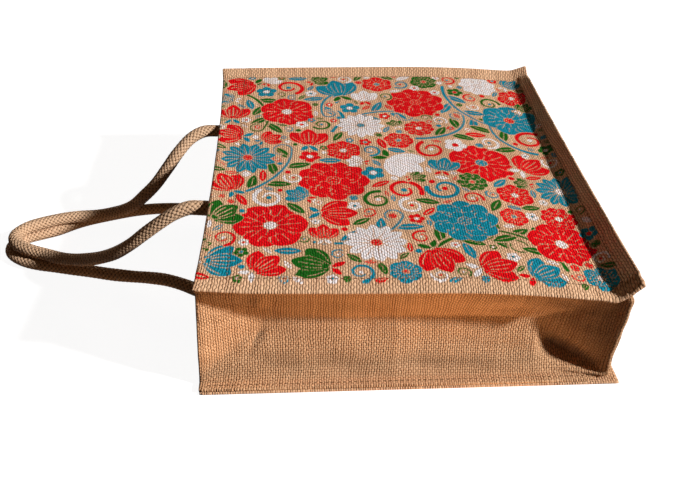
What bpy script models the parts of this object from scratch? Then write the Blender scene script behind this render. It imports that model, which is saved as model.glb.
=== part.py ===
"""Jute tote bag lying on its back panel, with its mouth and both handles to the left.

Five sewn pieces: a front panel, a back panel, one gusset strip that runs down one side, under the
base and up the other side, and two padded rope handles. "Along" runs from the mouth to the base,
"across" from the near side to the far side, and heights start at the surface the bag lies on.
Sizes and tables are in millimetres, and placed() turns them into metres about the bag's centre.
"""
import math
from collections import namedtuple

import bmesh
import bpy
from mathutils import Vector

MM = 0.001

# The two panels and their outward seam flanges
PANEL_WIDTH = 388.0
FRONT_LENGTH = 356.0
BACK_MOUTH = -4.0
BACK_BASE = 362.0
BACK_NEAR = 5.0
BACK_FAR = 384.0
FLANGE = 12.0
BASE_FLANGE = 15.0
CORNER_RADIUS = 4.0

# Cloth thicknesses: single, turned over in a seam flange, and hemmed at the mouth
SINGLE = 1.6
TURNED = 2.4
HEMMED = 3.2
HEM_DEPTH = 25.0
HEM_STEP = 7.0
TURN_STEP = 5.0
SEWN_GAP = 0.3
SEWN_GAP_ABOVE = 0.5

# The front panel's shape: it sags a little, its mouth bows in, it falls towards the base, and its
# base edge bends up to a lip
SAG = 3.0
MOUTH_BOW = 5.8
BOW_REACH = 90.0
NEAR_CREASE = 333.0
FAR_CREASE = 337.0
CREASE_REACH = 7.0
LIP_NEAR = math.radians(42.0)
LIP_FAR = math.radians(22.0)
LIP_STEPS = 12
FALL_NEAR = math.radians(-6.7)
FALL_FAR = math.radians(-3.1)

# The handles: diameter, the depth of their sewn ends inside the mouth, and their places across
ROPE = 12.0
ROPE_INSIDE = 38.0
ROPE_NEAR = 123.0
ROPE_FAR = 265.0
ROPE_POINTS = 52
CURVE_STEPS = 8
ROPE_ON_FLOOR = ROPE / 2 + SEWN_GAP
ROPE_ON_ROPE = ROPE_ON_FLOOR + ROPE + SEWN_GAP
ROPE_IN_BACK = HEMMED + SEWN_GAP + ROPE / 2

CENTRE_ALONG = (BACK_MOUTH + BACK_BASE) / 2
CENTRE_ACROSS = PANEL_WIDTH / 2

# Heights of the front panel's seam lines, and how far its near flange droops below them
Height = namedtuple("Height", "along near far droop")
FRONT_HEIGHTS = (
    Height(0.0, 124.0, 117.0, 2.0),
    Height(40.0, 122.2, 118.0, 4.5),
    Height(120.0, 120.3, 119.0, 5.0),
    Height(210.0, 118.8, 119.8, 5.0),
    Height(240.0, 117.0, 119.6, 5.0),
    Height(290.0, 112.5, 118.2, 5.2),
    Height(326.0, 108.0, 116.2, 5.5),
    Height(356.0, 104.5, 114.0, 5.5),
)
HEIGHT_REACH = 15.0
FAR_FLANGE_RISE = 6.3
FLANGE_CURL = 1.2

# Folds of the gusset strip, a row for each section. Each fold line is at a part of the strip's
# width (0 at the back panel, 1 at the front panel) and pushed in by so much, or out where it is
# below zero, as at the mouth and at the two corners of the base.
Section = namedtuple(
    "Section",
    "station foot_at foot_in pocket_at pocket_in ridge_at ridge_in valley_at valley_in brow_in",
)
GUSSET_SECTIONS = (
    Section(0.0, 0.02, 0.0, 0.05, 0.0, 0.50, -1.5, 0.86, 0.0, 0.0),
    Section(51.0, 0.15, 5.5, 0.45, 16.6, 0.49, 18.1, 0.53, 18.2, 3.2),
    Section(160.0, 0.15, 5.4, 0.33, 12.0, 0.45, 16.6, 0.50, 18.5, 3.0),
    Section(284.0, 0.14, 5.0, 0.34, 12.4, 0.45, 16.6, 0.52, 18.5, 3.0),
    Section(298.0, 0.12, 3.6, 0.30, 13.0, 0.43, 11.4, 0.54, 13.2, 0.8),
    Section(313.0, 0.10, 1.6, 0.22, 9.0, 0.36, 3.0, 0.56, 7.0, -2.6),
    Section(327.0, 0.07, -2.0, 0.12, 2.5, 0.30, -4.5, 0.57, 0.6, -4.6),
    Section(341.0, 0.05, -7.0, 0.14, -8.0, 0.38, -8.6, 0.55, -7.4, -9.0),
    Section(356.0, 0.06, -3.0, 0.16, -2.4, 0.38, -1.6, 0.55, 0.0, -4.0),
    Section(405.0, 0.15, 7.0, 0.34, 16.0, 0.44, 20.6, 0.50, 23.0, 3.8),
    Section(519.0, 0.15, 7.6, 0.34, 17.2, 0.44, 22.4, 0.50, 25.0, 4.0),
    Section(633.0, 0.15, 7.0, 0.34, 16.0, 0.44, 20.6, 0.50, 23.0, 3.8),
    Section(682.0, 0.06, -1.0, 0.16, 0.0, 0.38, 1.0, 0.55, 2.0, -2.0),
    Section(697.0, 0.05, -4.0, 0.14, -5.0, 0.38, -5.6, 0.55, -4.4, -4.0),
    Section(716.0, 0.08, 0.6, 0.18, 2.4, 0.38, 3.0, 0.56, 5.0, -1.0),
    Section(756.0, 0.14, 5.0, 0.32, 11.4, 0.44, 15.6, 0.50, 17.5, 2.8),
    Section(880.0, 0.15, 5.2, 0.33, 11.6, 0.45, 15.8, 0.50, 17.5, 2.8),
    Section(985.0, 0.15, 5.2, 0.42, 14.8, 0.48, 16.8, 0.53, 17.0, 3.0),
    Section(1038.0, 0.02, 0.0, 0.05, 0.0, 0.50, -1.5, 0.86, 0.0, 0.0),
)
BROW = 0.88
FOLD_STEPS = (2, 1, 2, 1, 3, 1)
FOLD_REACH = 4.0

# Seam paths that the strip is sewn along, and the stretches of its stations
SeamPath = namedtuple("SeamPath", "mouth base near far")
BACK_SEAM = SeamPath(BACK_MOUTH, BACK_BASE - BASE_FLANGE, BACK_NEAR + FLANGE, BACK_FAR - FLANGE)
FRONT_SEAM = SeamPath(0.0, FRONT_LENGTH - FLANGE, FLANGE, PANEL_WIDTH - FLANGE)
NEAR_END = 338.0
BASE_START = 344.0
BASE_END = 694.0
FAR_START = 700.0
STRIP_LENGTH = 1038.0

# The strip's flanges are narrower, and hang a little lower, round the two corners of the base
CORNER_STATIONS = ((NEAR_END + BASE_START) / 2, (BASE_END + FAR_START) / 2)
CORNER_FLANGE = 6.0
CORNER_GAP = 2.2
CORNER_REACH = 16.0

# Routes of the handles, each on from its near sewn end round to its far one
Route = namedtuple("Route", "along across height")
BACK_HANDLE = (
    Route(ROPE_INSIDE, ROPE_NEAR, ROPE_IN_BACK),
    Route(16.0, ROPE_NEAR, ROPE_IN_BACK),
    Route(-1.0, 123.5, 10.2),
    Route(-13.0, 126.5, 13.0),
    Route(-28.0, 133.0, 15.2),
    Route(-45.0, 141.0, 14.8),
    Route(-63.0, 148.5, 11.8),
    Route(-83.0, 155.5, 8.2),
    Route(-105.0, 162.0, ROPE_ON_FLOOR),
    Route(-130.0, 168.5, ROPE_ON_FLOOR),
    Route(-154.0, 174.0, ROPE_ON_FLOOR),
    Route(-176.0, 179.0, ROPE_ON_FLOOR),
    Route(-194.5, 186.5, ROPE_ON_FLOOR),
    Route(-207.0, 197.5, ROPE_ON_FLOOR),
    Route(-209.5, 211.0, ROPE_ON_FLOOR),
    Route(-200.0, 223.5, ROPE_ON_FLOOR),
    Route(-186.0, 230.5, ROPE_ON_FLOOR),
    Route(-171.0, 238.0, ROPE_ON_FLOOR),
    Route(-155.0, 248.5, ROPE_ON_FLOOR),
    Route(-136.0, 258.0, ROPE_ON_FLOOR),
    Route(-112.0, 265.0, 7.0),
    Route(-87.0, 268.5, 9.5),
    Route(-60.0, 267.5, 12.0),
    Route(-33.0, 266.0, 11.5),
    Route(-12.0, ROPE_FAR, 10.2),
    Route(4.0, ROPE_FAR, ROPE_IN_BACK),
    Route(19.0, ROPE_FAR, ROPE_IN_BACK),
    Route(ROPE_INSIDE, ROPE_FAR, ROPE_IN_BACK),
)
FRONT_HANDLE = (
    Route(ROPE_INSIDE, ROPE_NEAR, 110.5),
    Route(17.0, ROPE_NEAR, 111.1),
    Route(-1.0, 122.7, 112.1),
    Route(-13.0, 121.5, 112.7),
    Route(-26.0, 118.5, 108.8),
    Route(-40.0, 116.5, 99.8),
    Route(-54.0, 117.0, 88.2),
    Route(-68.0, 119.5, 75.0),
    Route(-84.0, 125.5, 61.0),
    Route(-100.0, 134.5, 49.0),
    Route(-116.0, 145.0, 38.5),
    Route(-133.0, 157.0, 29.0),
    Route(-150.0, 168.5, 22.0),
    Route(-168.0, 180.0, ROPE_ON_ROPE),
    Route(-186.5, 188.0, ROPE_ON_ROPE),
    Route(-200.0, 198.0, ROPE_ON_ROPE),
    Route(-205.0, 211.0, ROPE_ON_ROPE),
    Route(-197.5, 224.0, ROPE_ON_ROPE),
    Route(-183.0, 233.5, ROPE_ON_ROPE),
    Route(-166.0, 240.5, ROPE_ON_ROPE),
    Route(-148.0, 244.5, ROPE_ON_ROPE),
    Route(-130.0, 245.0, 19.8),
    Route(-113.0, 241.5, 25.0),
    Route(-98.0, 235.5, 33.0),
    Route(-85.0, 229.5, 43.5),
    Route(-73.0, 226.5, 56.0),
    Route(-60.0, 228.5, 69.0),
    Route(-47.0, 235.5, 84.5),
    Route(-36.0, 243.5, 97.5),
    Route(-24.0, 253.5, 107.2),
    Route(-11.0, 262.0, 110.7),
    Route(4.0, ROPE_FAR, 109.8),
    Route(19.0, ROPE_FAR, 109.3),
    Route(ROPE_INSIDE, ROPE_FAR, 108.8),
)

JUTE = (0.72, 0.50, 0.29, 1.0)
JUTE_SHADED = (0.62, 0.41, 0.23, 1.0)
ROPE_JUTE = (0.66, 0.46, 0.28, 1.0)


def placed(point):
    """The place in metres, about the bag's centre, of a point given along, across and in height."""
    return Vector(((point[0] - CENTRE_ALONG) * MM, (point[1] - CENTRE_ACROSS) * MM, point[2] * MM))


def blend(first, second, part):
    return first + (second - first) * part


def ease(part):
    part = min(max(part, 0.0), 1.0)
    return part * part * (3.0 - 2.0 * part)


def column(rows, key, name, at):
    """A table's column read at a place between its rows."""
    places = [getattr(row, key) for row in rows]
    at = min(max(at, places[0]), places[-1])
    for first, second in zip(rows, rows[1:]):
        start, end = getattr(first, key), getattr(second, key)
        if at <= end:
            return blend(getattr(first, name), getattr(second, name), (at - start) / (end - start))


def eased_column(rows, key, name, at, reach):
    """The same, with the corners between its rows rounded off over a reach on either side."""
    shifts = (-reach, -reach / 2, 0.0, reach / 2, reach)
    return sum(column(rows, key, name, at + shift) for shift in shifts) / len(shifts)


def front_point(along, across):
    """A point of the front panel's upper face, from its place on the flat cloth."""
    side = across / PANEL_WIDTH
    crease = blend(NEAR_CREASE, FAR_CREASE, side)
    lip_start = crease - CREASE_REACH
    flat = min(along, lip_start)
    near = eased_column(FRONT_HEIGHTS, "along", "near", flat, HEIGHT_REACH)
    far = eased_column(FRONT_HEIGHTS, "along", "far", flat, HEIGHT_REACH)
    height = blend(near, far, side)
    height -= SAG * math.sin(math.pi * side) * math.sin(math.pi * min(flat / lip_start, 1.0))
    near_turn = max(1.0 - across / FLANGE, 0.0)
    far_turn = max(1.0 - (PANEL_WIDTH - across) / FLANGE, 0.0)
    height -= column(FRONT_HEIGHTS, "along", "droop", flat) * near_turn ** FLANGE_CURL
    height += FAR_FLANGE_RISE * far_turn ** FLANGE_CURL
    bow = MOUTH_BOW * math.sqrt(max(math.sin(math.pi * side), 0.0))
    place = flat + bow * max(1.0 - flat / BOW_REACH, 0.0) ** 2
    if along > lip_start:
        fall = blend(FALL_NEAR, FALL_FAR, side)
        lip = blend(LIP_NEAR, LIP_FAR, side)
        step = (along - lip_start) / LIP_STEPS
        for index in range(LIP_STEPS):
            turned = ease((index + 0.5) * step / (2 * CREASE_REACH))
            angle = blend(fall, lip, turned)
            place += step * math.cos(angle)
            height += step * math.sin(angle)
    return Vector((place, across, height))


def front_normal(along, across):
    """The upward direction square to the front panel."""
    probe = 1.0
    low = max(across - probe, 0.0)
    high = min(across + probe, PANEL_WIDTH)
    forward = front_point(along + probe, across) - front_point(along - probe, across)
    sideways = front_point(along, high) - front_point(along, low)
    return forward.cross(sideways).normalized()


def seam_place(path, station, outward):
    """A place on a seam path, stepped outward from it into the flange, and the way outward there."""
    radius = CORNER_RADIUS
    if station <= NEAR_END:
        part = station / NEAR_END
        centre = Vector((blend(path.mouth, path.base - radius, part), path.near + radius))
        way = Vector((0.0, -1.0))
    elif station < BASE_START:
        angle = math.pi / 2 * (station - NEAR_END) / (BASE_START - NEAR_END)
        centre = Vector((path.base - radius, path.near + radius))
        way = Vector((math.sin(angle), -math.cos(angle)))
    elif station <= BASE_END:
        part = (station - BASE_START) / (BASE_END - BASE_START)
        centre = Vector((path.base - radius, blend(path.near + radius, path.far - radius, part)))
        way = Vector((1.0, 0.0))
    elif station < FAR_START:
        angle = math.pi / 2 * (station - BASE_END) / (FAR_START - BASE_END)
        centre = Vector((path.base - radius, path.far - radius))
        way = Vector((math.cos(angle), math.sin(angle)))
    else:
        part = (station - FAR_START) / (STRIP_LENGTH - FAR_START)
        centre = Vector((blend(path.base - radius, path.mouth, part), path.far - radius))
        way = Vector((0.0, 1.0))
    return centre + way * (radius + outward), way


def gusset_rows(station):
    """Points of the gusset's middle surface at one station, from its lower flange to its upper one."""
    sewn = TURNED + SEWN_GAP + TURNED / 2
    from_corner = min(abs(station - corner) for corner in CORNER_STATIONS)
    straight = ease(from_corner / CORNER_REACH)
    reach = blend(CORNER_FLANGE, FLANGE - 1.0, straight)
    sewn_above = TURNED + blend(CORNER_GAP, SEWN_GAP_ABOVE, straight) + TURNED / 2
    flange_steps = (reach, reach / 2, 0.0)
    rows = []
    for outward in flange_steps:
        place, way = seam_place(BACK_SEAM, station, outward)
        rows.append(Vector((place.x, place.y, sewn)))
    foot = rows[-1]
    upper = []
    for outward in reversed(flange_steps):
        place, way = seam_place(FRONT_SEAM, station, outward)
        point = front_point(place.x, place.y) - front_normal(place.x, place.y) * sewn_above
        upper.append(point)
    head = upper[0]
    knots = [(0.0, 0.0)]
    for name in ("foot", "pocket", "ridge", "valley"):
        at = eased_column(GUSSET_SECTIONS, "station", name + "_at", station, FOLD_REACH)
        pushed = eased_column(GUSSET_SECTIONS, "station", name + "_in", station, FOLD_REACH)
        knots.append((at, pushed))
    knots.append((BROW, eased_column(GUSSET_SECTIONS, "station", "brow_in", station, FOLD_REACH)))
    knots.append((1.0, 0.0))
    inward = Vector((-way.x, -way.y, 0.0))
    for (start, start_in), (end, end_in), count in zip(knots, knots[1:], FOLD_STEPS):
        for step in range(1, count + 1):
            at = blend(start, end, step / count)
            if at < 1.0:
                pushed = blend(start_in, end_in, step / count)
                rows.append(foot + (head - foot) * at + inward * pushed)
    return rows + upper


def cloth(name, grid, thickness, offset, material):
    """A sheet of cloth as one closed solid, from a grid of points and its thickness at each."""
    thickest = max(max(row) for row in thickness)
    mesh = bpy.data.meshes.new(name)
    sheet = bmesh.new()
    weights = sheet.verts.layers.deform.new()
    verts = []
    for points, thicknesses in zip(grid, thickness):
        line = []
        for point, thick in zip(points, thicknesses):
            vert = sheet.verts.new(placed(point))
            vert[weights][0] = thick / thickest
            line.append(vert)
        verts.append(line)
    for first, second in zip(verts, verts[1:]):
        for index in range(len(first) - 1):
            sheet.faces.new((first[index], second[index], second[index + 1], first[index + 1]))
    sheet.to_mesh(mesh)
    sheet.free()
    piece = bpy.data.objects.new(name, mesh)
    piece.vertex_groups.new(name="thickness")
    bpy.context.scene.collection.objects.link(piece)
    solid = piece.modifiers.new("thickness", "SOLIDIFY")
    solid.thickness = thickest * MM
    solid.offset = offset
    solid.use_even_offset = True
    solid.vertex_group = "thickness"
    mesh.materials.append(material)
    mesh.shade_smooth()
    return piece


def rope(name, route, material):
    """A padded rope handle: a round tube on a smooth curve through the route's points."""
    points = [Vector(row) for row in route]
    ends = [points[0] * 2 - points[1]] + points + [points[-1] * 2 - points[-2]]
    smooth = []
    for index in range(1, len(ends) - 2):
        before, start, end, after = ends[index - 1:index + 3]
        for step in range(CURVE_STEPS):
            part = step / CURVE_STEPS
            smooth.append(
                start
                + (end - before) * (part / 2)
                + (before * 2 - start * 5 + end * 4 - after) * (part ** 2 / 2)
                + (start * 3 - before - end * 3 + after) * (part ** 3 / 2)
            )
    smooth.append(points[-1])
    lengths = [0.0]
    for first, second in zip(smooth, smooth[1:]):
        lengths.append(lengths[-1] + (second - first).length)
    curve = bpy.data.curves.new(name, "CURVE")
    curve.dimensions = "3D"
    curve.bevel_depth = ROPE / 2 * MM
    curve.bevel_resolution = 2
    curve.use_fill_caps = True
    spline = curve.splines.new("POLY")
    spline.points.add(ROPE_POINTS - 1)
    reached = 0
    for index, target in enumerate(spline.points):
        length = lengths[-1] * index / (ROPE_POINTS - 1)
        while reached < len(lengths) - 2 and lengths[reached + 1] < length:
            reached += 1
        part = (length - lengths[reached]) / (lengths[reached + 1] - lengths[reached])
        target.co = (*placed(blend(smooth[reached], smooth[reached + 1], min(part, 1.0))), 1.0)
    piece = bpy.data.objects.new(name, curve)
    bpy.context.scene.collection.objects.link(piece)
    curve.materials.append(material)
    return piece


def finish(name, colour, roughness):
    """A plain cloth finish."""
    material = bpy.data.materials.new(name)
    material.use_nodes = True
    shader = material.node_tree.nodes["Principled BSDF"]
    shader.inputs["Base Color"].default_value = colour
    shader.inputs["Roughness"].default_value = roughness
    shader.inputs["Metallic"].default_value = 0.0
    return material


def panel_thickness(along, mouth, inset):
    """A panel's thickness: hemmed at the mouth, turned over in the flanges, single elsewhere."""
    hem = 1.0 - ease((along - mouth - HEM_DEPTH) / HEM_STEP)
    turn = 1.0 - ease((inset - FLANGE) / TURN_STEP)
    return max(blend(SINGLE, HEMMED, hem * (1.0 - turn)), blend(SINGLE, TURNED, turn))


def front_panel(material):
    alongs = (0, 8, 24, 33, 60, 95, 130, 165, 200, 230, 260, 285, 305, 320, 326, 329, 332, 335, 338,
              341, 344, 347, 351, 356)
    acrosses = (0, 3, 6, 9, 11.5, 13, 18, 40, 75, 110, 145, 180, 215, 250, 285, 320, 350, 368, 375,
                376.5, 379, 382, 385, 388)
    grid = [[front_point(along, across) for across in acrosses] for along in alongs]
    thickness = []
    for along in alongs:
        insets = [min(across, PANEL_WIDTH - across, FRONT_LENGTH - along) for across in acrosses]
        thickness.append([panel_thickness(along, 0.0, inset) for inset in insets])
    return cloth("front_panel", grid, thickness, -1.0, material)


def back_panel(material):
    alongs = (BACK_MOUTH, 8, 21, 28, 80, 140, 200, 260, 310, 340, 344, 349, 356, BACK_BASE)
    edge_steps = (0, 6, 12.5, 18)
    acrosses = [BACK_FAR - step for step in edge_steps]
    acrosses += [350, 310, 260, 210, 160, 110, 60]
    acrosses += [BACK_NEAR + step for step in reversed(edge_steps)]
    grid = [[Vector((along, across, 0.0)) for across in acrosses] for along in alongs]
    thickness = []
    for along in alongs:
        insets = [
            min(across - BACK_NEAR, BACK_FAR - across, BACK_BASE - BASE_FLANGE + FLANGE - along)
            for across in acrosses
        ]
        thickness.append([panel_thickness(along, BACK_MOUTH, inset) for inset in insets])
    return cloth("back_panel", grid, thickness, -1.0, material)


def gusset(material):
    stations = (
        0, 12, 25, 38, 51, 70, 100, 130, 165, 200, 235, 262, 276, 284, 292, 300, 308, 316, 323, 330,
        334, 338, 341, 344, 348, 354, 364, 378, 392, 408, 430, 460, 490, 519, 548, 578, 608, 630,
        648, 662, 674, 684, 690, 694, 697, 700, 704, 709, 715, 722, 738, 758, 790, 830, 880, 930,
        985, 1000, 1013, 1026, 1038,
    )
    grid = [gusset_rows(station) for station in stations]
    flange_rows = 2
    thickness = []
    for station, rows in zip(stations, grid):
        from_mouth = min(station, STRIP_LENGTH - station)
        hem = 1.0 - ease((from_mouth - HEM_DEPTH) / (2 * HEM_STEP))
        body = blend(SINGLE, TURNED, hem)
        last = len(rows) - 1
        thickness.append(
            [TURNED if min(row, last - row) < flange_rows else body for row in range(len(rows))]
        )
    return cloth("gusset", grid, thickness, 0.0, material)


for leftover in list(bpy.data.objects):
    bpy.data.objects.remove(leftover)

front_panel(finish("front_jute", JUTE, 0.95))
back_panel(finish("back_jute", JUTE, 0.95))
gusset(finish("gusset_jute", JUTE_SHADED, 0.95))
rope("handle_back", BACK_HANDLE, finish("back_rope", ROPE_JUTE, 0.9))
rope("handle_front", FRONT_HANDLE, finish("front_rope", ROPE_JUTE, 0.9))
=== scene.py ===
"""Looks of a jute tote bag that lies on its back panel with its printed front panel up.

Sizes are in millimetres, "along" from the mouth to the base, "across" from the near side to the
far side, and placed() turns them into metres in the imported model's frame.
"""

import math
import random
from collections import namedtuple

import bpy
import numpy as np
from mathutils import Matrix, Vector


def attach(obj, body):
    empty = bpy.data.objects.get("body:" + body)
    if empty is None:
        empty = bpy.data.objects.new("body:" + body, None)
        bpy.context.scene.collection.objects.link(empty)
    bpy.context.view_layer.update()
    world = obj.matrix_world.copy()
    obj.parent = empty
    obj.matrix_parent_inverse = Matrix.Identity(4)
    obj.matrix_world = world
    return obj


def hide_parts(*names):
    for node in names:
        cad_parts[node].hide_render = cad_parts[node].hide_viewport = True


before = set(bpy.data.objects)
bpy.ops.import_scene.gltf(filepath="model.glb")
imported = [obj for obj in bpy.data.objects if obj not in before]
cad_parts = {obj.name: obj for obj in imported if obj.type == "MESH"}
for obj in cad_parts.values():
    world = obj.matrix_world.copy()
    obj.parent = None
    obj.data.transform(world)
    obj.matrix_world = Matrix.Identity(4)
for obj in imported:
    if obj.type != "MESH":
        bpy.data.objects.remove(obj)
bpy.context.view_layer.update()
bpy.ops.object.select_all(action="DESELECT")

# Camera: stands in front of the near side, towards the mouth, and looks down on the bag with a slight
# roll.
MM = 0.001
CAMERA_PLACE = (-105.7, -636.3, 500.4)
CAMERA_YAW = math.radians(5.11)
CAMERA_PITCH = math.radians(36.85)
CAMERA_ROLL = math.radians(2.27)
SENSOR = 36.0
LENS = 40.41
NEAREST = 0.01

camera = bpy.data.objects.new("camera", bpy.data.cameras.new("camera"))
camera.data.sensor_width = SENSOR
camera.data.lens = LENS
camera.data.clip_start = NEAREST
turned = (
    Matrix.Rotation(-CAMERA_YAW, 4, "Z")
    @ Matrix.Rotation(math.pi / 2 - CAMERA_PITCH, 4, "X")
    @ Matrix.Rotation(CAMERA_ROLL, 4, "Z")
)
camera.matrix_world = Matrix.Translation([value * MM for value in CAMERA_PLACE]) @ turned
bpy.context.scene.collection.objects.link(camera)
bpy.context.scene.camera = camera
bpy.context.scene.view_settings.view_transform = "Standard"

# Handles: two soft ropes of jute yarn plaited over a core. Each is sewn inside the mouth at both
# ends, and the front one has fallen so that its loop lies on the loop of the back one.
CENTRE_ALONG = 179.0
CENTRE_ACROSS = 194.0
ROPE_HALF_WIDE = 6.5
ROPE_HALF_HIGH = 5.8
ROPE_INSIDE = 38.0
ROPE_NEAR = 123.0
ROPE_FAR = 265.0
ROPE_ON_FLOOR = 6.3
ROPE_ON_ROPE = 18.6
ROPE_IN_BACK = 9.5
ROPE_RING = 0.75
ROPE_SIDES = 48
ROPE_ROUND = 38.0
ROPE_END = 0.86
ROPE_END_REACH = 6.0
ROPE_SWELLS = ((0.03, 23.0, 0.0), (0.02, 7.3, 1.0))
ROUTE_STEPS = 24
PLAIT_PITCH = 4.4
PLAIT_STRANDS = 8
PLAIT_RELIEF = 0.34
PLAIT_BUMP = 0.0008
PLAIT_CREST = 0.62
PLAIT_ROUND = 0.6
PLAIT_DIVE = 0.4
WOBBLE_SCALE = 0.3
ROPE_PATCH_SCALE = 0.05
CLOTH_ROUGHNESS = 0.95
CLOTH_SPECULAR = 0.08
# Rope colours: tan and pale for the yarns, which are paler on their crests as a painted highlight, and a
# near-black colour for the gaps between them, which is painted shade.
ROPE_PALE = (0.80, 0.56, 0.38, 1.0)
ROPE_TAN = (0.46, 0.27, 0.145, 1.0)
ROPE_GAP_SHADE = (0.07, 0.03, 0.012, 1.0)

# The course of each handle's middle: along, across and height
BACK_HANDLE = (
    (ROPE_INSIDE, ROPE_NEAR, ROPE_IN_BACK),
    (16.0, ROPE_NEAR, ROPE_IN_BACK),
    (-1.0, 123.5, 10.2),
    (-13.0, 126.5, 13.0),
    (-28.0, 133.0, 15.2),
    (-45.0, 141.0, 14.8),
    (-63.0, 148.5, 11.8),
    (-83.0, 155.5, 8.2),
    (-105.0, 162.0, ROPE_ON_FLOOR),
    (-130.0, 168.5, ROPE_ON_FLOOR),
    (-154.0, 174.0, ROPE_ON_FLOOR),
    (-176.0, 179.0, ROPE_ON_FLOOR),
    (-194.5, 186.5, ROPE_ON_FLOOR),
    (-207.0, 197.5, ROPE_ON_FLOOR),
    (-209.5, 211.0, ROPE_ON_FLOOR),
    (-200.0, 223.5, ROPE_ON_FLOOR),
    (-186.0, 230.5, ROPE_ON_FLOOR),
    (-171.0, 238.0, ROPE_ON_FLOOR),
    (-155.0, 248.5, ROPE_ON_FLOOR),
    (-136.0, 258.0, ROPE_ON_FLOOR),
    (-112.0, 265.0, 7.0),
    (-87.0, 268.5, 9.5),
    (-60.0, 267.5, 12.0),
    (-33.0, 266.0, 11.5),
    (-12.0, ROPE_FAR, 10.2),
    (4.0, ROPE_FAR, ROPE_IN_BACK),
    (19.0, ROPE_FAR, ROPE_IN_BACK),
    (ROPE_INSIDE, ROPE_FAR, ROPE_IN_BACK),
)
FRONT_HANDLE = (
    (ROPE_INSIDE, ROPE_NEAR, 110.5),
    (17.0, ROPE_NEAR, 111.1),
    (-1.0, 122.7, 112.1),
    (-13.0, 121.5, 112.7),
    (-26.0, 118.5, 108.8),
    (-40.0, 116.5, 99.8),
    (-54.0, 117.0, 88.2),
    (-68.0, 119.5, 75.0),
    (-84.0, 125.5, 61.0),
    (-100.0, 134.5, 49.0),
    (-116.0, 145.0, 38.5),
    (-133.0, 157.0, 29.0),
    (-150.0, 168.5, 22.0),
    (-168.0, 180.0, ROPE_ON_ROPE),
    (-186.5, 188.0, ROPE_ON_ROPE),
    (-200.0, 198.0, ROPE_ON_ROPE),
    (-205.0, 211.0, ROPE_ON_ROPE),
    (-197.5, 224.0, ROPE_ON_ROPE),
    (-183.0, 233.5, ROPE_ON_ROPE),
    (-166.0, 240.5, ROPE_ON_ROPE),
    (-148.0, 244.5, ROPE_ON_ROPE),
    (-130.0, 245.0, 19.8),
    (-113.0, 241.5, 25.0),
    (-98.0, 235.5, 33.0),
    (-85.0, 229.5, 43.5),
    (-73.0, 226.5, 56.0),
    (-60.0, 228.5, 69.0),
    (-47.0, 235.5, 84.5),
    (-36.0, 243.5, 97.5),
    (-24.0, 253.5, 107.2),
    (-11.0, 262.0, 110.7),
    (4.0, ROPE_FAR, 109.8),
    (19.0, ROPE_FAR, 109.3),
    (ROPE_INSIDE, ROPE_FAR, 108.8),
)


def placed(points):
    """Points given along, across and in height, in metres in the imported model's frame."""
    return (np.asarray(points, float) - (CENTRE_ALONG, CENTRE_ACROSS, 0.0)) * MM


def blend(first, second, part):
    return first + (second - first) * part


def ease(part):
    part = np.clip(part, 0.0, 1.0)
    return part * part * (3.0 - 2.0 * part)


def unit(vectors):
    return vectors / np.linalg.norm(vectors, axis=-1, keepdims=True)


def smooth_route(route, spacing):
    """Evenly spaced points on a smooth curve through a route's points, and the lengths to them."""
    points = np.array(route, float)
    ends = np.vstack([points[0] * 2 - points[1], points, points[-1] * 2 - points[-2]])
    part = np.linspace(0.0, 1.0, ROUTE_STEPS, endpoint=False)[:, None]
    runs = []
    for before, start, end, after in zip(ends, ends[1:], ends[2:], ends[3:]):
        runs.append(
            start
            + (end - before) * (part / 2)
            + (before * 2 - start * 5 + end * 4 - after) * (part ** 2 / 2)
            + (start * 3 - before - end * 3 + after) * (part ** 3 / 2)
        )
    curve = np.vstack(runs + [points[-1:]])
    lengths = np.concatenate([[0.0], np.cumsum(np.linalg.norm(np.diff(curve, axis=0), axis=1))])
    wanted = np.linspace(0.0, lengths[-1], int(lengths[-1] / spacing) + 1)
    return np.stack([np.interp(wanted, lengths, curve[:, axis]) for axis in range(3)], 1), wanted


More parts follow.
